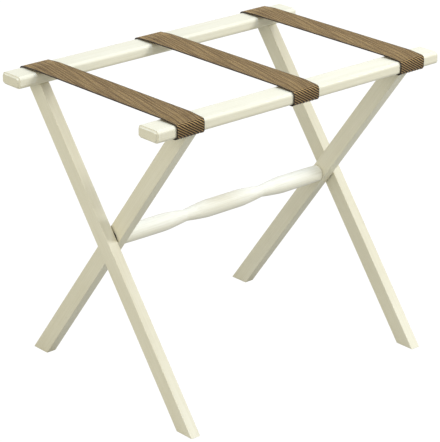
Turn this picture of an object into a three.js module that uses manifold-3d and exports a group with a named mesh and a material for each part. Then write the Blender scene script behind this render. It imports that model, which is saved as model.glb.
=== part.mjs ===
// Folding luggage rack: two painted wooden frames that cross on a pair of concealed pins, and three
// webbing straps that join their top rails. Millimetres, +Z up.
// Origin on the floor under the middle of the rack. +X runs along the rails, +Y from front to back.
//
// The outer frame is the back rail and the two outer legs, which reach the floor at the front. The
// inner frame is the same frame given a half turn about Z, with its legs inside the outer ones.

import * as THREE from "three";
import { mergeVertices } from "three/addons/utils/BufferGeometryUtils.js";
import Module from "manifold-3d";

// ---- driving dimensions -------------------------------------------------------------------------

const RACK_HEIGHT = 482; // floor to the top of the rails
const RAIL_LENGTH = 570;
const RAIL_SPACING = 319; // between the middles of the two rails
const RAIL_WIDTH = 43;
const RAIL_THICKNESS = 19;
const RAIL_ROUNDING = 4; // radius along the four long edges
const RAIL_END_EASING = 3.6; // radius round each end
const RAIL_OVERHANG = 42; // from the outer leg's outer face to the rail's end

const LEG_THICKNESS = 17.5; // along X
const LEG_WIDTH = 27.5; // across the leg
const LEG_EASING = 1.6; // radius along the leg's edges
const LEG_SPACE = 2.5; // between an outer leg and the inner leg beside it
const PIVOT_HEIGHT = 250.5;

const STRETCHER_RADIUS = 13.8; // at the fullest part of each swelling
const STRETCHER_NECK_RADIUS = 9.2;
const STRETCHER_NECK_OFFSET = 78.5; // from the middle of the rack to each neck
const STRETCHER_NECK_REACH = 46; // length over which a swelling thins down to a neck
const STRETCHER_NECK_SHAPE = 1.35; // 1 is a straight taper, and more is hollower near the swelling
const STRETCHER_END_RADIUS = 13.2;
const STRETCHER_END_EASING = 2;

const PIN_RADIUS = 3;
const PIN_GRIP = 12; // depth of a pin in the stretcher
const PIN_REACH = 11; // depth of a pin in the outer leg
const PIN_CHAMFER = 0.6;
const WASHER_RADIUS = 13;

const STRAP_WIDTH = 51;
const STRAP_THICKNESS = 1.8;
const STRAP_LIFT = 2.4; // from the rails' tops to the underside of the strap between the rails
const STRAP_LEVEL = 10; // length over which it runs on level above a rail, before it comes down
const STRAP_TUCK = 15; // how far a strap's end lies under the rail, from the rail's outer face

const SCREW_RADIUS = 2;
const SCREW_HEAD_RADIUS = 4;
const SCREW_HEAD_DEPTH = 2.6;
const SCREW_LENGTH = 34;
const SCREW_TIP = 4;
const SCREW_OFFSET = 4.5; // from the middle of the rail towards the middle of the rack
const SCREW_RECESS_LENGTH = 4;
const SCREW_RECESS_WIDTH = 0.9;
const SCREW_RECESS_DEPTH = 1.5;

const STAPLE_CROWN = 8;
const STAPLE_WIRE = 1;
const STAPLE_DEPTH = 9; // from the crown to the points

const CLEARANCE = 0.3; // between pieces that touch
const REBATE_CLEARANCE = 0.6; // round the strap's end where a leg is cut back for it
const STRAP_MIDDLE_GAP = 0.8; // between the two halves of a strap

// Facets of the round shapes.
const ARC_STEPS = 2; // curveSegments: a quarter turn is twice this many facets
const EASING_STEPS = 3;
const STRETCHER_SIDES = 24;
const SMALL_SIDES = 16;
const STRETCHER_STEPS = 40;

// ---- derived places -----------------------------------------------------------------------------

const LEG_TOP = RACK_HEIGHT - RAIL_THICKNESS - CLEARANCE;
const LEG_LEAN = Math.atan2(RAIL_SPACING / 2, LEG_TOP + CLEARANCE - PIVOT_HEIGHT);
const LEG_LEVEL_WIDTH = LEG_WIDTH / Math.cos(LEG_LEAN); // the leg's width where it is cut level
const OUTER_LEG_X = RAIL_LENGTH / 2 - RAIL_OVERHANG - LEG_THICKNESS / 2;
const INNER_LEG_X = OUTER_LEG_X - LEG_THICKNESS - LEG_SPACE;
const STRAP_X = (OUTER_LEG_X + INNER_LEG_X) / 2; // a side strap lies over its pair of legs
const SCREW_Y = RAIL_SPACING / 2 - SCREW_OFFSET;
const RAIL_INNER_Y = RAIL_SPACING / 2 - RAIL_WIDTH / 2;
const RAIL_OUTER_Y = RAIL_SPACING / 2 + RAIL_WIDTH / 2;
const RAIL_BOTTOM = RACK_HEIGHT - RAIL_THICKNESS;
const STRAP_TURN_Y = RAIL_INNER_Y + RAIL_ROUNDING; // the strap turns down here as the rack folds
const STRAP_BOTTOM = RACK_HEIGHT + STRAP_LIFT; // between the rails
const TUCK_Y = RAIL_OUTER_Y - STRAP_TUCK; // the end of the strap under the rail
const STAPLE_Y = (TUCK_Y + RAIL_OUTER_Y - RAIL_ROUNDING) / 2;
const STAPLE_BOTTOM = RAIL_BOTTOM - STRAP_THICKNESS - 2 * CLEARANCE - STAPLE_WIRE;
const SIDES = { left: -1, right: 1 };

// ---- materials ----------------------------------------------------------------------------------

const paintedWood = new THREE.MeshStandardMaterial({ color: 0xeae5d6, roughness: 0.5, metalness: 0 });
const webbing = new THREE.MeshStandardMaterial({ color: 0x8c7355, roughness: 0.9, metalness: 0 });
const steel = new THREE.MeshStandardMaterial({ color: 0x9a9a98, roughness: 0.35, metalness: 1 });
const nylon = new THREE.MeshStandardMaterial({ color: 0x1c1b19, roughness: 0.6, metalness: 0 });

// ---- tools --------------------------------------------------------------------------------------

const wasm = await Module();
wasm.setup();

function solidOf(geometry) {
  const bare = new THREE.BufferGeometry();
  bare.setAttribute("position", geometry.getAttribute("position"));
  bare.setIndex(geometry.index);
  const merged = mergeVertices(bare, 1e-4);
  return new wasm.Manifold(
    new wasm.Mesh({
      numProp: 3,
      vertProperties: merged.getAttribute("position").array,
      triVerts: new Uint32Array(merged.index.array),
    }),
  );
}

function geometryOf(solid) {
  const mesh = solid.getMesh();
  const geometry = new THREE.BufferGeometry();
  geometry.setAttribute("position", new THREE.BufferAttribute(mesh.vertProperties, 3));
  geometry.setIndex(new THREE.BufferAttribute(mesh.triVerts, 1));
  geometry.computeVertexNormals();
  return geometry;
}

// Cuts every cutter out of a geometry.
function cut(geometry, cutters) {
  let solid = solidOf(geometry);
  for (const cutter of cutters) solid = solid.subtract(solidOf(cutter));
  return geometryOf(solid);
}

// A shape drawn in the YZ plane, carried along X from -length/2 to length/2, with eased end edges.
function prismAlongX(shape, length, easing = 0) {
  const geometry = new THREE.ExtrudeGeometry(shape, {
    depth: length - 2 * easing,
    curveSegments: ARC_STEPS,
    bevelEnabled: easing > 0,
    bevelThickness: easing,
    bevelSize: easing,
    bevelOffset: -easing,
    bevelSegments: EASING_STEPS,
  });
  geometry.translate(0, 0, easing - length / 2);
  const toX = new THREE.Matrix4().makeBasis(
    new THREE.Vector3(0, 1, 0),
    new THREE.Vector3(0, 0, 1),
    new THREE.Vector3(1, 0, 0),
  );
  return geometry.applyMatrix4(toX);
}

// A turned piece whose axis is X: each point is [place along the axis, radius].
function turnedAlongX(points, sides) {
  const profile = points.map(([along, radius]) => new THREE.Vector2(radius, along));
  return new THREE.LatheGeometry(profile, sides).rotateZ(-Math.PI / 2);
}

// A turned piece whose axis is Z: each point is [height, radius].
function turnedAlongZ(points, sides) {
  const profile = points.map(([height, radius]) => new THREE.Vector2(radius, height));
  return new THREE.LatheGeometry(profile, sides).rotateX(Math.PI / 2);
}

function block(low, high) {
  const size = high.map((value, axis) => value - low[axis]);
  const middle = high.map((value, axis) => (value + low[axis]) / 2);
  return new THREE.BoxGeometry(...size).translate(...middle);
}

function addMesh(parent, name, geometry, material, x = 0) {
  const mesh = new THREE.Mesh(geometry, material);
  mesh.name = name;
  mesh.position.x = x;
  parent.add(mesh);
}

// ---- screws -------------------------------------------------------------------------------------

// A countersunk screw with its head's top at height zero, grown on every side by the given amount.
function screwPoints(grow) {
  return [
    [-SCREW_LENGTH - 2 * grow, 0],
    [SCREW_TIP - SCREW_LENGTH - grow, SCREW_RADIUS + grow],
    [-SCREW_HEAD_DEPTH, SCREW_RADIUS + grow],
    [-CLEARANCE, SCREW_HEAD_RADIUS + grow],
    [grow, SCREW_HEAD_RADIUS + grow],
    [grow, 0],
  ];
}

function screwGeometry() {
  const half = SCREW_RECESS_LENGTH / 2;
  const halfWidth = SCREW_RECESS_WIDTH / 2;
  const recess = [
    block([-half, -halfWidth, -SCREW_RECESS_DEPTH], [half, halfWidth, 1]),
    block([-halfWidth, -half, -SCREW_RECESS_DEPTH], [halfWidth, half, 1]),
  ];
  const screw = cut(turnedAlongZ(screwPoints(0), SMALL_SIDES), recess);
  return screw.translate(0, SCREW_Y, RACK_HEIGHT - CLEARANCE);
}

function screwHole() {
  const hole = turnedAlongZ(screwPoints(CLEARANCE), SMALL_SIDES);
  return hole.translate(0, SCREW_Y, RACK_HEIGHT - CLEARANCE);
}

// ---- staples ------------------------------------------------------------------------------------

// Where a strap's two staples go along X, from the strap's middle. A side strap keeps them on the
// part of its end that no leg covers; towardsMiddle says on which side of its middle that part is.
function stapleOffsets(isSideStrap, towardsMiddle) {
  if (!isSideStrap) return [-STRAP_WIDTH / 4, STRAP_WIDTH / 4];
  const inner = -LEG_SPACE / 2;
  const outer = STRAP_WIDTH / 2;
  const places = [0.27, 0.73].map((share) => inner + share * (outer - inner));
  return places.map((place) => (towardsMiddle ? -place : place));
}

// A staple seen along Y: its crown below the strap and its two points up in the rail.
function stapleGeometry(x) {
  const half = STAPLE_CROWN / 2;
  const shape = new THREE.Shape([
    new THREE.Vector2(-half, 0),
    new THREE.Vector2(half, 0),
    new THREE.Vector2(half, STAPLE_DEPTH),
    new THREE.Vector2(half - STAPLE_WIRE, STAPLE_DEPTH - STAPLE_WIRE),
    new THREE.Vector2(half - STAPLE_WIRE, STAPLE_WIRE),
    new THREE.Vector2(STAPLE_WIRE - half, STAPLE_WIRE),
    new THREE.Vector2(STAPLE_WIRE - half, STAPLE_DEPTH - STAPLE_WIRE),
    new THREE.Vector2(-half, STAPLE_DEPTH),
  ]);
  const geometry = new THREE.ExtrudeGeometry(shape, { depth: STAPLE_WIRE, bevelEnabled: false });
  geometry.rotateX(Math.PI / 2);
  return geometry.translate(x, STAPLE_Y + STAPLE_WIRE / 2, STAPLE_BOTTOM);
}

// The two holes that a staple makes in the strap's end and the rail.
function stapleHoles(x) {
  const top = STAPLE_BOTTOM + STAPLE_DEPTH + CLEARANCE;
  const bottom = STAPLE_BOTTOM + STAPLE_WIRE;
  const reach = STAPLE_WIRE / 2 + CLEARANCE;
  return [-1, 1].map((side) => {
    const middle = x + (side * (STAPLE_CROWN - STAPLE_WIRE)) / 2;
    return block([middle - reach, STAPLE_Y - reach, bottom], [middle + reach, STAPLE_Y + reach, top]);
  });
}

// ---- rails --------------------------------------------------------------------------------------

function railShape() {
  const r = RAIL_ROUNDING;
  const shape = new THREE.Shape();
  shape.absarc(RAIL_OUTER_Y - r, RAIL_BOTTOM + r, r, -Math.PI / 2, 0);
  shape.absarc(RAIL_OUTER_Y - r, RACK_HEIGHT - r, r, 0, Math.PI / 2);
  shape.absarc(RAIL_INNER_Y + r, RACK_HEIGHT - r, r, Math.PI / 2, Math.PI);
  shape.absarc(RAIL_INNER_Y + r, RAIL_BOTTOM + r, r, Math.PI, 1.5 * Math.PI);
  return shape;
}

function railGeometry(legX, stapleXs) {
  const cutters = [-legX, legX].map((x) => screwHole().translate(x, 0, 0));
  for (const x of stapleXs) cutters.push(...stapleHoles(x));
  return cut(prismAlongX(railShape(), RAIL_LENGTH, RAIL_END_EASING), cutters);
}

// ---- legs ---------------------------------------------------------------------------------------

// A leg that stands at the front and leans back up to the back rail, cut level at both ends.
function legShape() {
  const half = LEG_LEVEL_WIDTH / 2;
  const yAt = (height) => (height - PIVOT_HEIGHT) * Math.tan(LEG_LEAN);
  return new THREE.Shape([
    new THREE.Vector2(yAt(0) - half, 0),
    new THREE.Vector2(yAt(0) + half, 0),
    new THREE.Vector2(yAt(LEG_TOP) + half, LEG_TOP),
    new THREE.Vector2(yAt(LEG_TOP) - half, LEG_TOP),
  ]);
}

// The step at the top of a leg that makes room for the strap's end under the rail.
function strapRebate() {
  const depth = STRAP_THICKNESS + 2 * CLEARANCE;
  const low = [-LEG_THICKNESS, TUCK_Y - REBATE_CLEARANCE, RAIL_BOTTOM - depth];
  return block(low, [LEG_THICKNESS, RAIL_OUTER_Y, RACK_HEIGHT]);
}

// pinLow and pinHigh are the ends of the pin's hole along X, from the leg's own middle.
function legGeometry(pinLow, pinHigh) {
  const radius = PIN_RADIUS + CLEARANCE;
  const hole = [[pinLow, 0], [pinLow, radius], [pinHigh, radius], [pinHigh, 0]];
  const pinHole = turnedAlongX(hole, SMALL_SIDES).translate(0, 0, PIVOT_HEIGHT);
  const leg = prismAlongX(legShape(), LEG_THICKNESS, LEG_EASING);
  return cut(leg, [pinHole, screwHole(), strapRebate()]);
}

// ---- stretcher, pins and washers ----------------------------------------------------------------

// The stretcher's radius at a distance from its middle: three swellings with a neck between each
// two, and slightly slimmer ends.
function stretcherRadius(x, halfLength) {
  const nearNeck = 1 - Math.min(1, Math.abs(Math.abs(x) - STRETCHER_NECK_OFFSET) / STRETCHER_NECK_REACH);
  const neck = (STRETCHER_RADIUS - STRETCHER_NECK_RADIUS) * nearNeck ** STRETCHER_NECK_SHAPE;
  const outerStart = STRETCHER_NECK_OFFSET + STRETCHER_NECK_REACH;
  const nearEnd = Math.max(0, (Math.abs(x) - outerStart) / (halfLength - outerStart));
  const end = (STRETCHER_RADIUS - STRETCHER_END_RADIUS) * nearEnd ** 2;
  return STRETCHER_RADIUS - neck - end;
}

function stretcherGeometry() {
  const halfLength = INNER_LEG_X - LEG_THICKNESS / 2 - CLEARANCE;
  const boreEnd = halfLength - PIN_GRIP;
  const bore = PIN_RADIUS + CLEARANCE;
  const turned = halfLength - STRETCHER_END_EASING;
  const points = [[-boreEnd, 0], [-boreEnd, bore], [-halfLength, bore]];
  points.push([-halfLength, STRETCHER_END_RADIUS - STRETCHER_END_EASING]);
  for (let step = 0; step <= STRETCHER_STEPS; step += 1) {
    const x = turned * ((2 * step) / STRETCHER_STEPS - 1);
    points.push([x, stretcherRadius(x, halfLength)]);
  }
  points.push([halfLength, STRETCHER_END_RADIUS - STRETCHER_END_EASING]);
  points.push([halfLength, bore], [boreEnd, bore], [boreEnd, 0]);
  return turnedAlongX(points, STRETCHER_SIDES).translate(0, 0, PIVOT_HEIGHT);
}

// The pin's ends along X, on the right-hand side of the rack.
const PIN_START = INNER_LEG_X - LEG_THICKNESS / 2 - PIN_GRIP + CLEARANCE;
const PIN_END = OUTER_LEG_X - LEG_THICKNESS / 2 + PIN_REACH - CLEARANCE;

function pinGeometry() {
  const points = [
    [PIN_START, 0],
    [PIN_START, PIN_RADIUS - PIN_CHAMFER],
    [PIN_START + PIN_CHAMFER, PIN_RADIUS],
    [PIN_END - PIN_CHAMFER, PIN_RADIUS],
    [PIN_END, PIN_RADIUS - PIN_CHAMFER],
    [PIN_END, 0],
  ];
  return turnedAlongX(points, SMALL_SIDES).translate(0, 0, PIVOT_HEIGHT);
}

// A ring that keeps the inner and outer leg apart, on the right-hand side of the rack.
function washerGeometry() {
  const low = INNER_LEG_X + LEG_THICKNESS / 2 + CLEARANCE;
  const high = OUTER_LEG_X - LEG_THICKNESS / 2 - CLEARANCE;
  const inner = PIN_RADIUS + CLEARANCE;
  const ring = [[low, inner], [low, WASHER_RADIUS], [high, WASHER_RADIUS], [high, inner], [low, inner]];
  return turnedAlongX(ring, STRETCHER_SIDES).translate(0, 0, PIVOT_HEIGHT);
}

// ---- straps -------------------------------------------------------------------------------------

// A strap's end: it comes down over the top of the back rail to its outer edge, and goes down its
// outer side and under it, where it is tucked in.
function wrapShape() {
  const r = RAIL_ROUNDING;
  const near = r + CLEARANCE;
  const far = near + STRAP_THICKNESS;
  const y = RAIL_OUTER_Y - r;
  const levelEnd = STRAP_TURN_Y + STRAP_LEVEL;
  const run = y - levelEnd;
  const drop = STRAP_LIFT + r;
  const slope = Math.atan2(drop, run) - Math.asin(near / Math.hypot(run, drop));
  const mitre = STRAP_THICKNESS * Math.tan(slope / 2);
  const shape = new THREE.Shape();
  shape.moveTo(TUCK_Y, RAIL_BOTTOM + r - far);
  shape.absarc(y, RAIL_BOTTOM + r, far, -Math.PI / 2, 0);
  shape.absarc(y, RACK_HEIGHT - r, far, 0, Math.PI / 2 - slope);
  shape.lineTo(levelEnd + mitre, STRAP_BOTTOM + STRAP_THICKNESS);
  shape.lineTo(STRAP_TURN_Y, STRAP_BOTTOM + STRAP_THICKNESS);
  shape.lineTo(STRAP_TURN_Y, STRAP_BOTTOM);
  shape.lineTo(levelEnd, STRAP_BOTTOM);
  shape.absarc(y, RACK_HEIGHT - r, near, Math.PI / 2 - slope, 0, true);
  shape.absarc(y, RAIL_BOTTOM + r, near, 0, -Math.PI / 2, true);
  shape.lineTo(TUCK_Y, RAIL_BOTTOM + r - near);
  return shape;
}

function wrapGeometry(stapleXs) {
  const holes = stapleXs.flatMap((x) => stapleHoles(x));
  return cut(prismAlongX(wrapShape(), STRAP_WIDTH), holes);
}

// Half of the strap between the rails, from the back rail to the middle of the rack.
function spanGeometry() {
  const low = [-STRAP_WIDTH / 2, STRAP_MIDDLE_GAP / 2, STRAP_BOTTOM];
  const high = [STRAP_WIDTH / 2, STRAP_TURN_Y - CLEARANCE, STRAP_BOTTOM + STRAP_THICKNESS];
  return block(low, high);
}

// ---- assembly -----------------------------------------------------------------------------------

// One rail with its legs, straps' ends, screws and staples, built as the outer frame. turn is 1 for
// the outer frame and -1 for the inner one, whose group has a half turn that swaps left and right.
function makeFrame(rail, legs, legX, pinLow, pinHigh, turn) {
  const frame = new THREE.Group();
  const strapXs = { left: -turn * STRAP_X, middle: 0, right: turn * STRAP_X };
  const staples = [];
  for (const [strap, x] of Object.entries(strapXs)) {
    const outwards = Math.sign(x);
    const offsets = stapleOffsets(x !== 0, turn > 0).map((offset) => (outwards || 1) * offset);
    addMesh(frame, `strap_${strap}_wrap_${rail}`, wrapGeometry(offsets), webbing, x);
    addMesh(frame, `strap_${strap}_span_${rail}`, spanGeometry(), webbing, x);
    offsets.forEach((offset, index) => {
      staples.push({ name: `staple_${rail}_${strap}_${index + 1}`, x: x + offset });
    });
  }
  const stapleXs = staples.map((staple) => staple.x);
  addMesh(frame, `rail_${rail}`, railGeometry(legX, stapleXs), paintedWood);
  for (const staple of staples) addMesh(frame, staple.name, stapleGeometry(staple.x), steel);
  for (const [side, sign] of Object.entries(SIDES)) {
    const x = sign * turn * legX;
    const outwards = Math.sign(x);
    const ends = outwards > 0 ? [pinLow, pinHigh] : [-pinHigh, -pinLow];
    addMesh(frame, `leg_${legs}_${side}`, legGeometry(...ends), paintedWood, x);
    addMesh(frame, `rail_screw_${rail}_${side}`, screwGeometry(), steel, x);
  }
  return frame;
}

// The pin's hole is blind in the outer leg and goes right through the inner one.
const halfLeg = LEG_THICKNESS / 2;
const outerFrame = makeFrame("back", "outer", OUTER_LEG_X, -LEG_THICKNESS, PIN_REACH - halfLeg, 1);
const innerFrame = makeFrame("front", "inner", INNER_LEG_X, -LEG_THICKNESS, LEG_THICKNESS, -1);
innerFrame.rotation.z = Math.PI;

addMesh(innerFrame, "stretcher", stretcherGeometry(), paintedWood);
for (const [side, sign] of Object.entries(SIDES)) {
  const turned = new THREE.Group();
  turned.rotation.z = sign > 0 ? Math.PI : 0; // cancels the inner frame's own half turn
  addMesh(turned, `pivot_pin_${side}`, pinGeometry(), steel);
  addMesh(turned, `pivot_washer_${side}`, washerGeometry(), nylon);
  innerFrame.add(turned);
}

const luggageRack = new THREE.Group();
luggageRack.add(outerFrame, innerFrame);

export default luggageRack;
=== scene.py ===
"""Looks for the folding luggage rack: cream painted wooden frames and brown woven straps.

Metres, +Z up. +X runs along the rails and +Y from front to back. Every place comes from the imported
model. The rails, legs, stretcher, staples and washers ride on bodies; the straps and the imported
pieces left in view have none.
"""

import math

import bmesh
import bpy
import numpy as np
from mathutils import Matrix, Vector


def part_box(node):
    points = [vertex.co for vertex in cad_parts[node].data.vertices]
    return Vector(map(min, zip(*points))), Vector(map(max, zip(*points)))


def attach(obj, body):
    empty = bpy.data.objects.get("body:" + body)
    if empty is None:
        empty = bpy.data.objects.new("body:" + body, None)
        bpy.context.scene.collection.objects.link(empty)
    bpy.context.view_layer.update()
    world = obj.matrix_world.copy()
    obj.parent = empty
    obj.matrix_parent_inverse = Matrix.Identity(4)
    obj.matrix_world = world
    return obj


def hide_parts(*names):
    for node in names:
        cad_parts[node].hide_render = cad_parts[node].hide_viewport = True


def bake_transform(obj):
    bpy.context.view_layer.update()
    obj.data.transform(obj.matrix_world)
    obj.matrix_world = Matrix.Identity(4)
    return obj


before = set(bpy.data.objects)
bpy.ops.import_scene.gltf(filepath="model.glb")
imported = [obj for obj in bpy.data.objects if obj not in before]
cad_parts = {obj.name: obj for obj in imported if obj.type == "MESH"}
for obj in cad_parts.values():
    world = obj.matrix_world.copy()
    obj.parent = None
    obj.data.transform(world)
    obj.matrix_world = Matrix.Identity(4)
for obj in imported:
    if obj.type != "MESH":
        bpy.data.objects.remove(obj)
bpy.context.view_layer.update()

MM = 0.001

# ---- sizes --------------------------------------------------------------------------------------

RAIL_ROUNDING = 4 * MM  # along the long edges of the CAD rail, which the strap follows
RAIL_EDGE_RADIUS = 5.5 * MM  # along the same edges of the painted rail, which are softer
RAIL_END_EASING = 3 * MM
LEG_WIDTH = 27.5 * MM
LEG_EASING = 1.6 * MM  # asked for, but the short edges of the step in its top keep it to 1.05 mm
REBATE_DEPTH = 2.4 * MM  # the step in a leg's top that makes room for the strap's end
REBATE_GAP = 0.6 * MM  # between that step and the strap's end

STRETCHER_RADIUS = 13.8 * MM
STRETCHER_NECK_RADIUS = 9.2 * MM
STRETCHER_NECK_OFFSET = 78.5 * MM
STRETCHER_NECK_REACH = 46 * MM
STRETCHER_NECK_SHAPE = 1.35  # 1 is a straight taper, and more is hollower near the swelling
STRETCHER_END_RADIUS = 13.2 * MM
STRETCHER_END_EASING = 2 * MM

STRAP_THICKNESS = 1.8 * MM
STRAP_OFF_WOOD = 0.3 * MM
STRAP_LIFT = 2.4 * MM  # from the rails' tops to the strap's underside between the rails
STRAP_LEVEL = 10 * MM  # length over which it runs on level above a rail, before it comes down
STRAP_BEND = 3 * MM  # length of the soft bend where it starts to come down
STRAP_TUCK = 15 * MM  # how far the strap's end lies under the rail
SELVEDGE = 0.5 * MM  # radius along a strap's two edges
RIB_PITCH = 3.2 * MM  # across the ribs
RIB_DEPTH = 0.65 * MM
RIB_FADE = 0.8 * MM  # width over which the ribs die away towards a strap's edges
INNER_RIB_SHARE = 0.4  # ribs stand out less on the inner face
RIB_ANGLE = math.radians(31)  # between a rib and the strap's width
WARP_TILT = math.radians(12)  # between the streaks of the warp and the strap's length
WARP_BUNDLE = 2.6 * MM  # width of a bundle of warp yarns that takes the dye alike

STAPLE_WIRE = 1.0 * MM
STAPLE_BEND = 0.9 * MM  # radius at a staple's two corners
WASHER_EDGE = 0.5 * MM
WASHER_CLEARANCE = 0.3 * MM  # between a washer's bore and its pin

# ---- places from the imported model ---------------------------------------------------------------

BACK_LOW, BACK_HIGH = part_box("rail_back")
RAIL_BOTTOM, RAIL_TOP = BACK_LOW.z, BACK_HIGH.z
RAIL_INNER_Y, RAIL_OUTER_Y = BACK_LOW.y, BACK_HIGH.y
RAIL_MIDDLE_Y = (RAIL_INNER_Y + RAIL_OUTER_Y) / 2
LEG_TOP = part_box("leg_outer_left")[1].z
PIVOT_HEIGHT = sum(corner.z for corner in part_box("stretcher")) / 2
LEG_LEAN = math.atan2(RAIL_MIDDLE_Y, RAIL_BOTTOM - PIVOT_HEIGHT)
TUCK_Y = RAIL_OUTER_Y - STRAP_TUCK
STRAP_LOW, STRAP_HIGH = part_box("strap_middle_wrap_back")
STRAP_WIDTH = STRAP_HIGH.x - STRAP_LOW.x
SIDES = ("left", "right")
STRAPS = ("left", "middle", "right")


# ---- tools --------------------------------------------------------------------------------------


def colour(hex_code):
    """Linear colour with alpha from an sRGB hex code such as #E9E4CB."""
    parts = [int(hex_code[i : i + 2], 16) / 255 for i in (1, 3, 5)]
    linear = [p / 12.92 if p <= 0.04045 else ((p + 0.055) / 1.055) ** 2.4 for p in parts]
    return (*linear, 1.0)


def add_node(tree, kind, inputs=None, **settings):
    """Adds a node with its settings. Each input is a value or another node's output."""
    made = tree.nodes.new(kind)
    for name, value in settings.items():
        setattr(made, name, value)
    for socket, value in (inputs or {}).items():
        if isinstance(value, bpy.types.NodeSocket):
            tree.links.new(value, made.inputs[socket])
        else:
            made.inputs[socket].default_value = value
    return made


def new_material(name):
    """A material with an empty tree, and that tree."""
    material = bpy.data.materials.new(name)
    material.use_nodes = True
    material.node_tree.nodes.clear()
    return material, material.node_tree


def new_piece(name, vertices, faces, material):
    """A smooth mesh object from points in the row frame."""
    mesh = bpy.data.meshes.new(name)
    mesh.from_pydata([tuple(v) for v in vertices], [], faces)
    mesh.update()
    mesh.polygons.foreach_set("use_smooth", [True] * len(mesh.polygons))
    mesh.materials.append(material)
    piece = bpy.data.objects.new(name, mesh)
    bpy.context.scene.collection.objects.link(piece)
    return piece


def apply_modifiers(piece):
    """Turns what the piece's modifiers make into its own plain mesh."""
    evaluated = piece.evaluated_get(bpy.context.evaluated_depsgraph_get())
    made = bpy.data.meshes.new_from_object(evaluated)
    piece.modifiers.clear()
    piece.data = made
    return piece


def face_outwards(piece):
    """Turns the faces of a closed mesh outwards."""
    work = bmesh.new()
    work.from_mesh(piece.data)
    bmesh.ops.recalc_face_normals(work, faces=work.faces)
    work.to_mesh(piece.data)
    work.free()


def loft_faces(rings, ring_size):
    """Faces that join each ring of points to the next, and close both ends."""
    faces = []
    for ring in range(rings - 1):
        for i in range(ring_size):
            j = (i + 1) % ring_size
            a, b = ring * ring_size, (ring + 1) * ring_size
            faces.append((a + i, a + j, b + j, b + i))
    faces.append(tuple(reversed(range(ring_size))))
    faces.append(tuple(range((rings - 1) * ring_size, rings * ring_size)))
    return faces


def finish_piece(piece, body, slot, *nodes):
    """The piece rides on its body and stands for CAD nodes, which it hides. slot is not used."""
    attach(piece, body)
    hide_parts(*nodes)


# ---- materials ----------------------------------------------------------------------------------


GRAIN_LENGTH = 90 * MM
GRAIN_WIDTH = 1.6 * MM
PEEL_WAVE = 2.2 * MM
CLOUD_LENGTH = 160 * MM
CLOUD_WIDTH = 30 * MM


def painted_wood(name, grain_turn, thin="#E2DCC2", thick="#EEE9D3"):
    """Satin paint, sprayed over close-grained beech: a cream film that fills most of the grain,
    with soft broad highlights and a faint orange peel. grain_turn lays the grain along the piece,
    and thin and thick are the colours of the film where it is thinnest and thickest."""
    material, tree = new_material(name)
    place = add_node(tree, "ShaderNodeTexCoord").outputs["Object"]
    turned = add_node(
        tree,
        "ShaderNodeMapping",
        {"Vector": place, "Rotation": grain_turn},
        vector_type="TEXTURE",
    ).outputs["Vector"]
    # Beech pores are about 0.1 mm wide: drawn 1.6 mm wide and 90 mm long, so that they show.
    grain_place = add_node(
        tree,
        "ShaderNodeMapping",
        {"Vector": turned, "Scale": (1 / GRAIN_LENGTH, 1 / GRAIN_WIDTH, 1 / GRAIN_WIDTH)},
    ).outputs["Vector"]
    grain = add_node(
        tree,
        "ShaderNodeTexNoise",
        {"Vector": grain_place, "Scale": 1.0, "Detail": 3.0, "Roughness": 0.6},
    ).outputs["Fac"]
    # Orange peel of sprayed paint has waves of about 1 to 3 mm.
    peel = add_node(
        tree,
        "ShaderNodeTexNoise",
        {"Vector": turned, "Scale": 1 / PEEL_WAVE, "Detail": 1.0},
    ).outputs["Fac"]
    # The film's tone drifts a little, in patches 160 mm long and 30 mm wide.
    cloud_place = add_node(
        tree,
        "ShaderNodeMapping",
        {"Vector": turned, "Scale": (1 / CLOUD_LENGTH, 1 / CLOUD_WIDTH, 1 / CLOUD_WIDTH)},
    ).outputs["Vector"]
    cloud = add_node(
        tree,
        "ShaderNodeTexNoise",
        {"Vector": cloud_place, "Scale": 1.0, "Detail": 2.0},
    ).outputs["Fac"]
    tone = add_node(
        tree,
        "ShaderNodeMix",
        {0: cloud, 6: colour(thin), 7: colour(thick)},
        data_type="RGBA",
    ).outputs[2]
    grain_share = add_node(
        tree,
        "ShaderNodeMapRange",
        {"Value": grain, "From Min": 0.3, "From Max": 0.62, "To Min": 0.3, "To Max": 0.0},
    ).outputs["Result"]
    paint = add_node(
        tree,
        "ShaderNodeMix",
        {0: grain_share, 6: tone, 7: colour("#D3CBAA")},
        data_type="RGBA",
    ).outputs[2]
    roughness = add_node(
        tree,
        "ShaderNodeMapRange",
        {"Value": cloud, "From Min": 0.3, "From Max": 0.7, "To Min": 0.42, "To Max": 0.52},
    ).outputs["Result"]
    peel_bump = add_node(
        tree,
        "ShaderNodeBump",
        {"Height": peel, "Strength": 0.35, "Distance": 0.06 * MM},
    ).outputs["Normal"]
    bump = add_node(
        tree,
        "ShaderNodeBump",
        {"Height": grain, "Normal": peel_bump, "Strength": 0.5, "Distance": 0.08 * MM},
    ).outputs["Normal"]
    shader = add_node(
        tree,
        "ShaderNodeBsdfPrincipled",
        {
            "Base Color": paint,
            "Roughness": roughness,
            "IOR": 1.5,
            "Coat Weight": 0.25,
            "Coat Roughness": 0.15,
            "Normal": bump,
        },
    )
    add_node(tree, "ShaderNodeOutputMaterial", {"Surface": shader.outputs["BSDF"]})
    return material


YARN_PITCH = 0.9 * MM
FUZZ_SIZE = 0.9 * MM
STREAK_LENGTH = 100 * MM
LEVEL_FADE = 2 * MM  # past a rail's outer side, where the streaks have faded
EDGE_START = 1.5 * MM  # from a strap's edge, where its dark border of dye and painted shade starts
EDGE_FULL = 0.8 * MM  # from a strap's edge, where the border is darkest
EDGE_DYE_AND_SHADE_SHARE = 0.85


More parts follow.
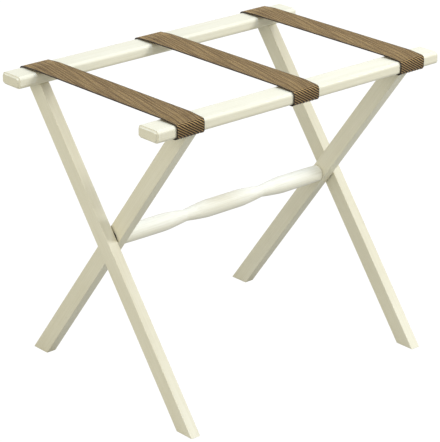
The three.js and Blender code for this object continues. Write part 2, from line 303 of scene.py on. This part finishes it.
def woven_webbing():
    """Cotton twill webbing, dyed brown: matt and slightly fuzzy, with pale cords, furrows between
    them drawn dark with dye and painted shade, fine yarns across each cord, painted shade low on
    the upright part, and an edge drawn dark with dye and painted shade. It reads the strap's own
    map, which is laid out in metres."""
    material, tree = new_material("woven_cotton_webbing")
    place = add_node(tree, "ShaderNodeUVMap", uv_map="strap_map").outputs["UV"]
    split = add_node(tree, "ShaderNodeSeparateXYZ", {"Vector": place})
    across, along = split.outputs["X"], split.outputs["Y"]
    # Turned so that its X runs along a cord and its Y from cord to cord.
    cord_place = add_node(
        tree,
        "ShaderNodeMapping",
        {"Vector": place, "Rotation": (0, 0, RIB_ANGLE)},
    ).outputs["Vector"]
    cord_split = add_node(tree, "ShaderNodeSeparateXYZ", {"Vector": cord_place})
    phase = add_node(
        tree,
        "ShaderNodeMath",
        {0: cord_split.outputs["Y"], 1: 2 * math.pi / RIB_PITCH},
        operation="MULTIPLY",
    ).outputs[0]
    wave = add_node(tree, "ShaderNodeMath", {0: phase}, operation="COSINE").outputs[0]
    crest = add_node(
        tree,
        "ShaderNodeMapRange",
        {"Value": wave, "From Min": -0.5, "From Max": 0.9},
        interpolation_type="SMOOTHSTEP",
    ).outputs["Result"]
    # Cotton yarns lie about 0.6 mm apart: drawn 0.9 mm apart.
    yarn_phase = add_node(
        tree,
        "ShaderNodeMath",
        {0: cord_split.outputs["X"], 1: 2 * math.pi / YARN_PITCH},
        operation="MULTIPLY",
    ).outputs[0]
    yarn = add_node(tree, "ShaderNodeMath", {0: yarn_phase}, operation="SINE").outputs[0]
    fuzz = add_node(
        tree,
        "ShaderNodeTexNoise",
        {"Vector": place, "Scale": 1 / FUZZ_SIZE, "Detail": 2.0, "Roughness": 0.7},
    ).outputs["Fac"]
    # Bundles of warp yarns take up more or less dye: streaks that run almost along the strap.
    warp_place = add_node(
        tree,
        "ShaderNodeMapping",
        {"Vector": place, "Rotation": (0, 0, WARP_TILT)},
    ).outputs["Vector"]
    streak_place = add_node(
        tree,
        "ShaderNodeMapping",
        {"Vector": warp_place, "Scale": (1 / WARP_BUNDLE, 1 / STREAK_LENGTH, 1.0)},
    ).outputs["Vector"]
    streak = add_node(
        tree,
        "ShaderNodeTexNoise",
        {"Vector": streak_place, "Scale": 1.0, "Detail": 1.0},
    ).outputs["Fac"]
    streak_share = add_node(
        tree,
        "ShaderNodeMapRange",
        {"Value": streak, "From Min": 0.4, "From Max": 0.6},
    ).outputs["Result"]
    # The streaks are drawn on the level run, and fade where the strap turns down.
    from_centre = add_node(tree, "ShaderNodeMath", {0: along}, operation="ABSOLUTE").outputs[0]
    level = add_node(
        tree,
        "ShaderNodeMapRange",
        {
            "Value": from_centre,
            "From Min": RAIL_OUTER_Y - RAIL_ROUNDING,
            "From Max": RAIL_OUTER_Y + LEVEL_FADE,
            "To Min": 1.0,
            "To Max": 0.15,
        },
    ).outputs["Result"]
    shown = add_node(
        tree,
        "ShaderNodeMix",
        {0: level, 2: 0.5, 3: streak_share},
        data_type="FLOAT",
    ).outputs[0]
    dyed = add_node(
        tree,
        "ShaderNodeMix",
        {0: shown, 6: colour("#6C4C22"), 7: colour("#E0BB78")},
        data_type="RGBA",
    ).outputs[2]
    flecked = add_node(
        tree,
        "ShaderNodeMix",
        {0: fuzz, 6: dyed, 7: colour("#9C7E4E")},
        data_type="RGBA",
    ).outputs[2]
    # The upright part is drawn darker towards its lower edge: painted shade.
    lower_shade_share = add_node(
        tree,
        "ShaderNodeMapRange",
        {
            "Value": from_centre,
            "From Min": RAIL_OUTER_Y,
            "From Max": RAIL_OUTER_Y + RAIL_TOP - RAIL_BOTTOM,
            "To Min": 0.0,
            "To Max": 0.5,
        },
    ).outputs["Result"]
    lower_painted_shade = add_node(
        tree,
        "ShaderNodeMix",
        {0: lower_shade_share, 6: flecked, 7: colour("#41240F")},
        data_type="RGBA",
    ).outputs[2]
    # Painted shade: the furrows between the cords are drawn near black, partly a darker dye and
    # partly shade in the hollows.
    furrow_dye_and_shade = add_node(
        tree,
        "ShaderNodeMix",
        {0: crest, 6: colour("#1E1004"), 7: lower_painted_shade},
        data_type="RGBA",
    ).outputs[2]
    # Painted shade: the edges are drawn near black, partly a darker selvedge and partly shade.
    from_middle = add_node(tree, "ShaderNodeMath", {0: across}, operation="ABSOLUTE").outputs[0]
    edge = add_node(
        tree,
        "ShaderNodeMapRange",
        {
            "Value": from_middle,
            "From Min": STRAP_WIDTH / 2 - EDGE_START,
            "From Max": STRAP_WIDTH / 2 - EDGE_FULL,
        },
    ).outputs["Result"]
    edge_dye_and_shade_share = add_node(
        tree, "ShaderNodeMath", {0: edge, 1: EDGE_DYE_AND_SHADE_SHARE}, operation="MULTIPLY"
    ).outputs[0]
    cloth = add_node(
        tree,
        "ShaderNodeMix",
        {0: edge_dye_and_shade_share, 6: furrow_dye_and_shade, 7: colour("#1F1409")},
        data_type="RGBA",
    ).outputs[2]
    yarn_bump = add_node(
        tree,
        "ShaderNodeBump",
        {"Height": yarn, "Strength": 0.4, "Distance": 0.1 * MM},
    ).outputs["Normal"]
    bump = add_node(
        tree,
        "ShaderNodeBump",
        {"Height": fuzz, "Normal": yarn_bump, "Strength": 0.5, "Distance": 0.15 * MM},
    ).outputs["Normal"]
    shader = add_node(
        tree,
        "ShaderNodeBsdfPrincipled",
        {
            "Base Color": cloth,
            "Roughness": 0.92,
            "IOR": 1.45,
            "Specular IOR Level": 0.2,
            "Sheen Weight": 0.25,
            "Sheen Roughness": 0.5,
            "Normal": bump,
        },
    )
    add_node(tree, "ShaderNodeOutputMaterial", {"Surface": shader.outputs["BSDF"]})
    return material


MOTTLE_SIZE = 2 * MM


def bright_steel():
    """Zinc-plated mild steel: grey, half bright, with a slightly mottled plating."""
    material, tree = new_material("zinc_plated_steel")
    place = add_node(tree, "ShaderNodeTexCoord").outputs["Object"]
    mottle = add_node(
        tree,
        "ShaderNodeTexNoise",
        {"Vector": place, "Scale": 1 / MOTTLE_SIZE, "Detail": 3.0},
    ).outputs["Fac"]
    tone = add_node(
        tree,
        "ShaderNodeMix",
        {0: mottle, 6: colour("#A9A9A6"), 7: colour("#C6C6C3")},
        data_type="RGBA",
    ).outputs[2]
    roughness = add_node(
        tree,
        "ShaderNodeMapRange",
        {"Value": mottle, "To Min": 0.28, "To Max": 0.45},
    ).outputs["Result"]
    shader = add_node(
        tree,
        "ShaderNodeBsdfPrincipled",
        {"Base Color": tone, "Metallic": 1.0, "Roughness": roughness},
    )
    add_node(tree, "ShaderNodeOutputMaterial", {"Surface": shader.outputs["BSDF"]})
    return material


MOULD_TEXTURE = 0.4 * MM


def black_nylon():
    """Moulded black nylon: near black, with a fine matt moulding texture."""
    material, tree = new_material("moulded_black_nylon")
    place = add_node(tree, "ShaderNodeTexCoord").outputs["Object"]
    texture = add_node(
        tree,
        "ShaderNodeTexNoise",
        {"Vector": place, "Scale": 1 / MOULD_TEXTURE, "Detail": 2.0},
    ).outputs["Fac"]
    tone = add_node(
        tree,
        "ShaderNodeMix",
        {0: texture, 6: colour("#0E0D0D"), 7: colour("#1A1918")},
        data_type="RGBA",
    ).outputs[2]
    bump = add_node(
        tree,
        "ShaderNodeBump",
        {"Height": texture, "Strength": 0.3, "Distance": 0.03 * MM},
    ).outputs["Normal"]
    shader = add_node(
        tree,
        "ShaderNodeBsdfPrincipled",
        {"Base Color": tone, "Roughness": 0.55, "IOR": 1.53, "Normal": bump},
    )
    add_node(tree, "ShaderNodeOutputMaterial", {"Surface": shader.outputs["BSDF"]})
    return material


# ---- rails --------------------------------------------------------------------------------------

ARC_STEPS = 8
SUPPORT = 0.4 * MM  # a row of faces beside each rounded edge keeps the flat sides flat


def rounded_ring(low_y, high_y, low_z, high_z, radius):
    """Points round a rounded rectangle in the YZ plane, with a row beside each corner."""
    corners = [
        (high_y - radius, low_z + radius, -90),
        (high_y - radius, high_z - radius, 0),
        (low_y + radius, high_z - radius, 90),
        (low_y + radius, low_z + radius, 180),
    ]
    points = []
    for y, z, start in corners:
        first, last = math.radians(start), math.radians(start + 90)
        before = Vector((math.sin(first), -math.cos(first))) * SUPPORT
        after = Vector((-math.sin(last), math.cos(last))) * SUPPORT
        arc = []
        for step in range(ARC_STEPS + 1):
            angle = first + (last - first) * step / ARC_STEPS
            arc.append(Vector((y + radius * math.cos(angle), z + radius * math.sin(angle))))
        points += [arc[0] + before, *arc, arc[-1] + after]
    return points


def make_rail(name, body, material):
    """A board with rounded long edges and eased ends: rings of points from one end to the other."""
    low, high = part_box(name)
    # Each ring lies some way in from the end, and is inset from the rail's full section. The first
    # one lies on the flat of the end and keeps it flat.
    rings = [(0.0, RAIL_END_EASING + SUPPORT)]
    for step in range(ARC_STEPS + 1):
        turn = math.pi / 2 * step / ARC_STEPS
        rings.append((RAIL_END_EASING * math.sin(turn), RAIL_END_EASING * math.cos(turn)))
    rings.append((RAIL_END_EASING + SUPPORT, 0.0))
    stations = [(low.x + x, inset) for x, inset in rings]
    stations += [(high.x - x, inset) for x, inset in reversed(rings)]
    vertices = []
    for x, inset in stations:
        radius = max(RAIL_EDGE_RADIUS - inset, SUPPORT)
        ring = rounded_ring(
            low.y + inset, high.y - inset, low.z + inset, high.z - inset, radius
        )
        vertices += [(x, y, z) for y, z in ring]
    faces = loft_faces(len(stations), len(vertices) // len(stations))
    rail = new_piece(f"{name}_painted", vertices, faces, material)
    face_outwards(rail)
    finish_piece(rail, body, "painted_wood", name)


# ---- legs ---------------------------------------------------------------------------------------


def leg_outline():
    """Corners in the YZ plane of a leg that stands at the front and leans back to the back rail."""
    half = LEG_WIDTH / math.cos(LEG_LEAN) / 2
    slope = math.tan(LEG_LEAN)
    step_y = TUCK_Y - REBATE_GAP
    step_z = RAIL_BOTTOM - REBATE_DEPTH
    foot_y = -PIVOT_HEIGHT * slope
    top_y = (LEG_TOP - PIVOT_HEIGHT) * slope
    step_outer_y = (step_z - PIVOT_HEIGHT) * slope + half
    return [
        (foot_y - half, 0.0),
        (foot_y + half, 0.0),
        (step_outer_y, step_z),
        (step_y, step_z),
        (step_y, LEG_TOP),
        (top_y - half, LEG_TOP),
    ]


def make_leg(name, body, material, turn):
    """A square leg with eased edges. turn is 1 for a leg that leans to the back rail and -1 for one
    that leans to the front rail."""
    low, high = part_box(name)
    outline = [(turn * y, z) for y, z in leg_outline()]
    vertices = [(x, y, z) for x in (low.x, high.x) for y, z in outline]
    leg = new_piece(f"{name}_painted", vertices, loft_faces(2, len(outline)), material)
    face_outwards(leg)
    easing = leg.modifiers.new("easing", "BEVEL")
    easing.width = LEG_EASING
    easing.segments = 4
    easing.limit_method = "ANGLE"
    easing.angle_limit = math.radians(25)
    flat_sides = leg.modifiers.new("flat_sides", "WEIGHTED_NORMAL")
    flat_sides.keep_sharp = False
    apply_modifiers(leg)
    finish_piece(leg, body, "painted_wood", name)


# ---- stretcher ----------------------------------------------------------------------------------

STRETCHER_SIDES = 72
STRETCHER_STEPS = 180


def stretcher_radius(x, half_length):
    """Three swellings with a neck between each two, and slightly slimmer ends."""
    near_neck = 1 - min(1, abs(abs(x) - STRETCHER_NECK_OFFSET) / STRETCHER_NECK_REACH)
    neck = (STRETCHER_RADIUS - STRETCHER_NECK_RADIUS) * near_neck**STRETCHER_NECK_SHAPE
    outer_start = STRETCHER_NECK_OFFSET + STRETCHER_NECK_REACH
    near_end = max(0, (abs(x) - outer_start) / (half_length - outer_start))
    return STRETCHER_RADIUS - neck - (STRETCHER_RADIUS - STRETCHER_END_RADIUS) * near_end**2


def make_stretcher(material):
    """The turned bar: rings of points whose radius follows the swellings, with eased ends."""
    half_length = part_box("stretcher")[1].x
    turned = half_length - STRETCHER_END_EASING
    profile = []
    for step in range(STRETCHER_STEPS + 1):
        x = turned * (2 * step / STRETCHER_STEPS - 1)
        profile.append((x, stretcher_radius(x, half_length)))
    end = stretcher_radius(turned, half_length)
    eased = []
    for step in range(1, ARC_STEPS + 1):
        angle = math.pi / 2 * step / ARC_STEPS
        x = turned + STRETCHER_END_EASING * math.sin(angle)
        eased.append((x, end - STRETCHER_END_EASING * (1 - math.cos(angle))))
    profile = [(-x, r) for x, r in reversed(eased)] + profile + eased
    vertices = []
    for x, radius in profile:
        for side in range(STRETCHER_SIDES):
            angle = 2 * math.pi * side / STRETCHER_SIDES
            y, z = radius * math.cos(angle), radius * math.sin(angle)
            vertices.append((x, y, PIVOT_HEIGHT + z))
    faces = loft_faces(len(profile), STRETCHER_SIDES)
    stretcher = new_piece("stretcher_painted", vertices, faces, material)
    face_outwards(stretcher)
    finish_piece(stretcher, "inner_frame", "painted_wood", "stretcher")


# ---- straps -------------------------------------------------------------------------------------

SPAN_STEP = 0.47 * MM
ACROSS_STEP = 0.85 * MM
WRAP_POINTS = 19  # along each bend round a rail's edge
EDGE_POINTS = 5  # along each rounding of a strap's edge


def strap_path():
    """Points of the strap's inner face from the middle of the rack to its tucked end under the back
    rail, and the way that its outer face looks at each: (y, z, outward y, outward z)."""
    radius = RAIL_ROUNDING + STRAP_OFF_WOOD
    side_y = RAIL_OUTER_Y - RAIL_ROUNDING
    top_z, bottom_z = RAIL_TOP - RAIL_ROUNDING, RAIL_BOTTOM + RAIL_ROUNDING
    level_z = RAIL_TOP + STRAP_LIFT
    level_end = RAIL_INNER_Y + RAIL_ROUNDING + STRAP_LEVEL
    run, drop = side_y - level_end, level_z - top_z
    slope = math.atan2(drop, run) - math.asin(radius / math.hypot(run, drop))
    path = []
    touch_y = side_y + radius * math.sin(slope)
    for y in np.arange(0, touch_y - SPAN_STEP / 2, SPAN_STEP):
        bent = min(max((y - level_end) / STRAP_BEND + 0.5, 0), 1)
        past = max(y - level_end, 0)
        # Through the bend, the drop grows from nothing to that of the straight slope.
        fall = STRAP_BEND * bent**2 / 2 + max(past - STRAP_BEND / 2, 0)
        lean = bent * slope
        path.append((y, level_z - fall * math.tan(slope), math.sin(lean), math.cos(lean)))
    for centre_z, start in ((top_z, 90 - math.degrees(slope)), (bottom_z, 0)):
        for turn in np.linspace(start, 0 if start else -90, WRAP_POINTS):
            c, s = math.cos(math.radians(turn)), math.sin(math.radians(turn))
            path.append((side_y + radius * c, centre_z + radius * s, c, s))
        if start:
            for z in np.arange(top_z - SPAN_STEP, bottom_z, -SPAN_STEP):
                path.append((side_y + radius, z, 1.0, 0.0))
    for y in np.arange(side_y - SPAN_STEP, TUCK_Y, -SPAN_STEP):
        path.append((y, bottom_z - radius, 0.0, -1.0))
    path.append((TUCK_Y, bottom_z - radius, 0.0, -1.0))
    return np.array(path)


def strap_section():
    """Points round the strap's section: (across, height over the inner face, rib share)."""
    flat = STRAP_WIDTH / 2 - SELVEDGE
    across = np.linspace(-flat, flat, round(2 * flat / ACROSS_STEP) + 1)
    rib_share = np.clip((flat - np.abs(across)) / RIB_FADE, 0, 1)
    outer = [(a, STRAP_THICKNESS, share) for a, share in zip(across, rib_share)]
    edge = []
    for centre, start in ((STRAP_THICKNESS - SELVEDGE, 90), (SELVEDGE, 0)):
        for angle in np.radians(np.linspace(start, start - 90, EDGE_POINTS)):
            across_at = flat + SELVEDGE * math.cos(angle)
            edge.append((across_at, centre + SELVEDGE * math.sin(angle), 0.0))
    right = edge[1:-1]
    inner = [(-a, 0.0, share * INNER_RIB_SHARE) for a, _, share in outer]
    left = [(-a, STRAP_THICKNESS - height, 0.0) for a, height, _ in right]
    return outer + right + inner + left


def webbing_ribs_tree(material):
    """Geometry Nodes: presses the furrows between a webbing's diagonal cords into both faces."""
    tree = bpy.data.node_groups.new("webbing_ribs", "GeometryNodeTree")
    interface = tree.interface
    interface.new_socket("Geometry", in_out="INPUT", socket_type="NodeSocketGeometry")
    for label in ("Rib pitch", "Rib depth", "Rib angle"):
        interface.new_socket(label, in_out="INPUT", socket_type="NodeSocketFloat")
    interface.new_socket("Webbing", in_out="INPUT", socket_type="NodeSocketMaterial")
    interface.new_socket("Geometry", in_out="OUTPUT", socket_type="NodeSocketGeometry")
    given = add_node(tree, "NodeGroupInput").outputs
    place = add_node(
        tree,
        "GeometryNodeInputNamedAttribute",
        {"Name": "strap_place"},
        data_type="FLOAT_VECTOR",
    ).outputs["Attribute"]
    turned = add_node(
        tree,
        "ShaderNodeVectorRotate",
        {"Vector": place, "Angle": given["Rib angle"]},
        rotation_type="Z_AXIS",
    ).outputs["Vector"]
    from_cord_to_cord = add_node(tree, "ShaderNodeSeparateXYZ", {"Vector": turned}).outputs["Y"]
    rib_share = add_node(tree, "ShaderNodeSeparateXYZ", {"Vector": place}).outputs["Z"]
    turns = add_node(
        tree,
        "ShaderNodeMath",
        {0: from_cord_to_cord, 1: given["Rib pitch"]},
        operation="DIVIDE",
    ).outputs[0]
    phase = add_node(
        tree, "ShaderNodeMath", {0: turns, 1: 2 * math.pi}, operation="MULTIPLY"
    ).outputs[0]
    wave = add_node(tree, "ShaderNodeMath", {0: phase}, operation="COSINE").outputs[0]
    # 0 on a cord's crest and 1 at the bottom of a furrow, which is narrower than the cord.
    furrow = add_node(
        tree,
        "ShaderNodeMapRange",
        {"Value": wave, "From Min": 0.6, "From Max": -1.0},
        interpolation_type="SMOOTHSTEP",
    ).outputs["Result"]
    depth = add_node(
        tree, "ShaderNodeMath", {0: furrow, 1: given["Rib depth"]}, operation="MULTIPLY"
    ).outputs[0]
    pressed = add_node(
        tree, "ShaderNodeMath", {0: depth, 1: rib_share}, operation="MULTIPLY"
    ).outputs[0]
    inwards = add_node(
        tree, "ShaderNodeMath", {0: pressed, 1: -1.0}, operation="MULTIPLY"
    ).outputs[0]
    offset = add_node(
        tree,
        "ShaderNodeVectorMath",
        {0: add_node(tree, "GeometryNodeInputNormal").outputs["Normal"], "Scale": inwards},
        operation="SCALE",
    ).outputs["Vector"]
    moved = add_node(
        tree,
        "GeometryNodeSetPosition",
        {"Geometry": given["Geometry"], "Offset": offset},
    ).outputs["Geometry"]
    real = add_node(
        tree, "GeometryNodeRealizeInstances", {"Geometry": moved}
    ).outputs["Geometry"]
    dressed = add_node(
        tree,
        "GeometryNodeSetMaterial",
        {"Geometry": real, "Material": given["Webbing"]},
    ).outputs["Geometry"]
    add_node(tree, "NodeGroupOutput", {"Geometry": dressed})
    return tree


def run_tree(piece, tree, **values):
    """Runs a Geometry Nodes tree on a piece, with values for its named inputs, and keeps the mesh."""
    modifier = piece.modifiers.new(tree.name, "NODES")
    modifier.node_group = tree
    sockets = {item.name: item for item in tree.interface.items_tree if item.in_out == "INPUT"}
    for label, value in values.items():
        modifier[sockets[label.replace("_", " ")].identifier] = value
    return apply_modifiers(piece)


def make_strap(strap, rail, turn, material, ribs):
    """Half of a strap, from the middle of the rack round its rail. turn is 1 at the back rail and
    -1 at the front one, whose half is the back one given a half turn about Z."""
    low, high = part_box(f"strap_{strap}_wrap_{rail}")
    middle_x = (low.x + high.x) / 2
    path = strap_path()
    section = strap_section()
    steps = np.hypot(np.diff(path[:, 0]), np.diff(path[:, 1]))
    lengths = np.concatenate([[0.0], np.cumsum(steps)])
    vertices, places = [], []
    for (y, z, out_y, out_z), length in zip(path, lengths):
        for across, height, rib_share in section:
            x = middle_x + turn * across
            vertices.append((x, turn * (y + out_y * height), z + out_z * height))
            places.append((turn * across, turn * length, rib_share))
    faces = loft_faces(len(path), len(section))
    name = f"strap_{strap}_{rail}"
    piece = new_piece(name, vertices, faces, material)
    mesh = piece.data
    attribute = mesh.attributes.new("strap_place", "FLOAT_VECTOR", "POINT")
    attribute.data.foreach_set("vector", np.array(places, np.float32).ravel())
    corners = np.zeros(len(mesh.loops), np.int32)
    mesh.loops.foreach_get("vertex_index", corners)
    strap_map = mesh.uv_layers.new(name="strap_map")
    strap_map.data.foreach_set("uv", np.array(places, np.float32)[corners, :2].ravel())
    run_tree(
        piece,
        ribs,
        Rib_pitch=RIB_PITCH,
        Rib_depth=RIB_DEPTH,
        Rib_angle=RIB_ANGLE,
        Webbing=material,
    )
    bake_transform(piece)
    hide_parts(f"strap_{strap}_wrap_{rail}", f"strap_{strap}_span_{rail}")


# ---- staples and washers ------------------------------------------------------------------------


def wire_tree(material):
    """Geometry Nodes: bends flat-sided wire along every polyline of the mesh it is given."""
    tree = bpy.data.node_groups.new("bent_wire", "GeometryNodeTree")
    interface = tree.interface
    interface.new_socket("Geometry", in_out="INPUT", socket_type="NodeSocketGeometry")
    for label in ("Wire width", "Bend radius"):
        interface.new_socket(label, in_out="INPUT", socket_type="NodeSocketFloat")
    interface.new_socket("Steel", in_out="INPUT", socket_type="NodeSocketMaterial")
    interface.new_socket("Geometry", in_out="OUTPUT", socket_type="NodeSocketGeometry")
    given = add_node(tree, "NodeGroupInput").outputs
    path = add_node(
        tree, "GeometryNodeMeshToCurve", {"Mesh": given["Geometry"]}
    ).outputs["Curve"]
    bent = add_node(
        tree,
        "GeometryNodeFilletCurve",
        {"Curve": path, "Radius": given["Bend radius"], "Count": 4},
        mode="POLY",
    )
    square = add_node(
        tree,
        "GeometryNodeCurvePrimitiveQuadrilateral",
        {"Width": given["Wire width"], "Height": given["Wire width"]},
    ).outputs["Curve"]
    corner = add_node(
        tree, "ShaderNodeMath", {0: given["Wire width"], 1: 0.25}, operation="MULTIPLY"
    ).outputs[0]
    section = add_node(
        tree,
        "GeometryNodeFilletCurve",
        {"Curve": square, "Radius": corner, "Count": 2},
        mode="POLY",
    )
    wire = add_node(
        tree,
        "GeometryNodeCurveToMesh",
        {
            "Curve": bent.outputs["Curve"],
            "Profile Curve": section.outputs["Curve"],
            "Fill Caps": True,
        },
    ).outputs["Mesh"]
    real = add_node(
        tree, "GeometryNodeRealizeInstances", {"Geometry": wire}
    ).outputs["Geometry"]
    dressed = add_node(
        tree,
        "GeometryNodeSetMaterial",
        {"Geometry": real, "Material": given["Steel"]},
    ).outputs["Geometry"]
    add_node(tree, "NodeGroupOutput", {"Geometry": dressed})
    return tree


def make_staples(rail, body, material, tree):
    """All the staples under one rail: each is a path up one leg, along the crown and up the other."""
    names = [f"staple_{rail}_{strap}_{number}" for strap in STRAPS for number in (1, 2)]
    vertices, edges = [], []
    for name in names:
        low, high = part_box(name)
        y = (low.y + high.y) / 2
        left, right = low.x + STAPLE_WIRE / 2, high.x - STAPLE_WIRE / 2
        crown = low.z + STAPLE_WIRE / 2
        start = len(vertices)
        vertices += [(left, y, high.z), (left, y, crown), (right, y, crown), (right, y, high.z)]
        edges += [(start + i, start + i + 1) for i in range(3)]
    mesh = bpy.data.meshes.new(f"staples_{rail}")
    mesh.from_pydata(vertices, edges, [])
    mesh.materials.append(material)
    piece = bpy.data.objects.new(f"staples_{rail}", mesh)
    bpy.context.scene.collection.objects.link(piece)
    run_tree(piece, tree, Wire_width=STAPLE_WIRE, Bend_radius=STAPLE_BEND, Steel=material)
    face_outwards(piece)
    finish_piece(piece, body, "steel", *names)


WASHER_SIDES = 64
WASHER_EDGE_STEPS = 3


def make_washer(side, body, material):
    """A ring on the pivot pin, with rounded edges."""
    name = f"pivot_washer_{side}"
    low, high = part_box(name)
    pin_low, pin_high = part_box(f"pivot_pin_{side}")
    outer = (high.z - low.z) / 2
    inner = (pin_high.z - pin_low.z) / 2 + WASHER_CLEARANCE
    edge = min(WASHER_EDGE, (high.x - low.x) / 2)
    profile = []
    for x, radius, start in (
        (low.x + edge, outer - edge, 180),
        (high.x - edge, outer - edge, 90),
        (high.x - edge, inner + edge, 0),
        (low.x + edge, inner + edge, -90),
    ):
        for step in range(WASHER_EDGE_STEPS + 1):
            angle = math.radians(start - 90 * step / WASHER_EDGE_STEPS)
            profile.append((x + edge * math.cos(angle), radius + edge * math.sin(angle)))
    vertices, faces = [], []
    for turn in range(WASHER_SIDES):
        angle = 2 * math.pi * turn / WASHER_SIDES
        c, s = math.cos(angle), math.sin(angle)
        vertices += [(x, r * c, PIVOT_HEIGHT + r * s) for x, r in profile]
        after = (turn + 1) % WASHER_SIDES
        for i in range(len(profile)):
            j = (i + 1) % len(profile)
            a, b = turn * len(profile), after * len(profile)
            faces.append((a + i, a + j, b + j, b + i))
    washer = new_piece(f"{name}_moulded", vertices, faces, material)
    face_outwards(washer)
    finish_piece(washer, body, "nylon", name)


# ---- the rack -----------------------------------------------------------------------------------

ALONG_X = (0, 0, 0)
# A leg's grain runs up the leg: X is tipped up, then turned towards the rail that the leg leans to.
UP_A_LEG = LEG_LEAN - math.pi / 2
cream_rails = painted_wood("cream_paint_on_beech_rails", ALONG_X)
cream_outer = painted_wood("cream_paint_on_beech_outer_legs", (0, UP_A_LEG, math.pi / 2))
cream_inner = painted_wood("cream_paint_on_beech_inner_legs", (0, UP_A_LEG, -math.pi / 2))
# The turned piece is drawn in a paler cream than the rails and legs: painted light on the same paint.
cream_turned_painted_light = painted_wood("cream_paint_on_beech_stretcher_painted_light", ALONG_X, "#F0ECD8", "#FAF7E8")
webbing = woven_webbing()
steel = bright_steel()
nylon = black_nylon()

make_rail("rail_back", "outer_frame", cream_rails)
make_rail("rail_front", "inner_frame", cream_rails)
for side in SIDES:
    make_leg(f"leg_outer_{side}", "outer_frame", cream_outer, 1)
    make_leg(f"leg_inner_{side}", "inner_frame", cream_inner, -1)
make_stretcher(cream_turned_painted_light)

ribs = webbing_ribs_tree(webbing)
for strap in STRAPS:
    make_strap(strap, "back", 1, webbing, ribs)
    make_strap(strap, "front", -1, webbing, ribs)

staple_wire = wire_tree(steel)
make_staples("back", "outer_frame", steel, staple_wire)
make_staples("front", "inner_frame", steel, staple_wire)
for side in SIDES:
    make_washer(side, "inner_frame", nylon)

for name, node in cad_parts.items():
    if node.hide_render:
        continue
    node.data.materials.clear()
    node.data.materials.append(nylon if "washer" in name else steel)

# ---- stage, light and camera --------------------------------------------------------------------

CAMERA_TARGET = Vector((0.0473, 0.0597, 0.1897))
CAMERA_DISTANCE = 3.4037
CAMERA_AZIMUTH = math.radians(41.75)
CAMERA_ELEVATION = math.radians(21.84)
CAMERA_ROLL = math.radians(0.26)
SENSOR_WIDTH = 36
LENS = 173.2

WHITE = 1.05  # just past white, so that the background stays clean
FLOOR_DROP = 1 * MM  # below the feet
FLOOR_HALF = 6.0
WORLD_LIGHT = 0.66

LIT_POINT = Vector((0, 0, 0.2))
COOL = (0.56, 0.69, 1.0)
NEUTRAL = (0.95, 0.96, 1.0)
BLUISH = (0.78, 0.88, 1.0)
WARM = (1.0, 0.985, 0.9)


def make_camera():
    """A long lens in front of the rack, to its left and a little above it."""
    level = math.cos(CAMERA_ELEVATION)
    forward = Vector(
        (
            math.sin(CAMERA_AZIMUTH) * level,
            math.cos(CAMERA_AZIMUTH) * level,
            -math.sin(CAMERA_ELEVATION),
        )
    )
    right = forward.cross(Vector((0, 0, 1))).normalized()
    up = right.cross(forward)
    rolled_right = right * math.cos(CAMERA_ROLL) + up * math.sin(CAMERA_ROLL)
    rolled_up = up * math.cos(CAMERA_ROLL) - right * math.sin(CAMERA_ROLL)
    axes = Matrix((rolled_right, rolled_up, -forward)).transposed().to_4x4()
    data = bpy.data.cameras.new("camera")
    data.sensor_fit = "HORIZONTAL"
    data.sensor_width = SENSOR_WIDTH
    data.lens = LENS
    data.clip_start, data.clip_end = 0.05, 50
    camera = bpy.data.objects.new("camera", data)
    camera.matrix_world = Matrix.Translation(CAMERA_TARGET - forward * CAMERA_DISTANCE) @ axes
    bpy.context.scene.collection.objects.link(camera)
    bpy.context.scene.camera = camera


def make_floor():
    """A white studio floor, bright enough to run into the white background."""
    material, tree = new_material("white_floor")
    seen = add_node(tree, "ShaderNodeLightPath").outputs["Is Camera Ray"]
    glow = add_node(
        tree, "ShaderNodeEmission", {"Color": (1, 1, 1, 1), "Strength": WHITE}
    ).outputs[0]
    paper = add_node(tree, "ShaderNodeBsdfDiffuse", {"Color": (0.42, 0.42, 0.4, 1)}).outputs[0]
    mixed = add_node(tree, "ShaderNodeMixShader", {0: seen, 1: paper, 2: glow}).outputs[0]
    add_node(tree, "ShaderNodeOutputMaterial", {"Surface": mixed})
    corners = [(-1, -1), (1, -1), (1, 1), (-1, 1)]
    vertices = [(x * FLOOR_HALF, y * FLOOR_HALF, -FLOOR_DROP) for x, y in corners]
    new_piece("floor", vertices, [(0, 1, 2, 3)], material)


def make_world():
    """A white room: white to look at, and a soft light from every side."""
    world = bpy.data.worlds.new("white_room")
    world.use_nodes = True
    tree = world.node_tree
    tree.nodes.clear()
    seen = add_node(tree, "ShaderNodeLightPath").outputs["Is Camera Ray"]
    strength = add_node(
        tree, "ShaderNodeMapRange", {"Value": seen, "To Min": WORLD_LIGHT, "To Max": WHITE}
    ).outputs["Result"]
    tint = add_node(
        tree,
        "ShaderNodeMix",
        {0: seen, 6: (1, 0.985, 0.91, 1), 7: (1, 1, 1, 1)},
        data_type="RGBA",
    ).outputs[2]
    sky = add_node(
        tree, "ShaderNodeBackground", {"Color": tint, "Strength": strength}
    ).outputs[0]
    add_node(tree, "ShaderNodeOutputWorld", {"Surface": sky})
    bpy.context.scene.world = world


def make_light(name, place, size, power, tint, mirrored=True):
    """A round softbox that looks at the rack. One that is not mirrored leaves no glint on paint."""
    data = bpy.data.lights.new(name, "AREA")
    data.shape = "DISK"
    data.size = size
    data.energy = power
    data.color = tint
    light = bpy.data.objects.new(name, data)
    light.location = place
    light.visible_glossy = mirrored
    towards = LIT_POINT - Vector(place)
    light.rotation_euler = towards.to_track_quat("-Z", "Y").to_euler()
    bpy.context.scene.collection.objects.link(light)


make_camera()
make_floor()
make_world()
make_light("overhead_softbox", (0.1, -0.4, 3.0), 1.0, 40, COOL)
make_light("key_softbox", (1.4, -2.0, 2.1), 0.9, 36, NEUTRAL, mirrored=False)
make_light("glint_softbox", (1.9, -1.7, 1.9), 0.5, 8, BLUISH)
make_light("left_softbox", (-3.0, -0.3, 1.0), 2.0, 21, WARM)
bpy.context.scene.view_settings.view_transform = "Standard"
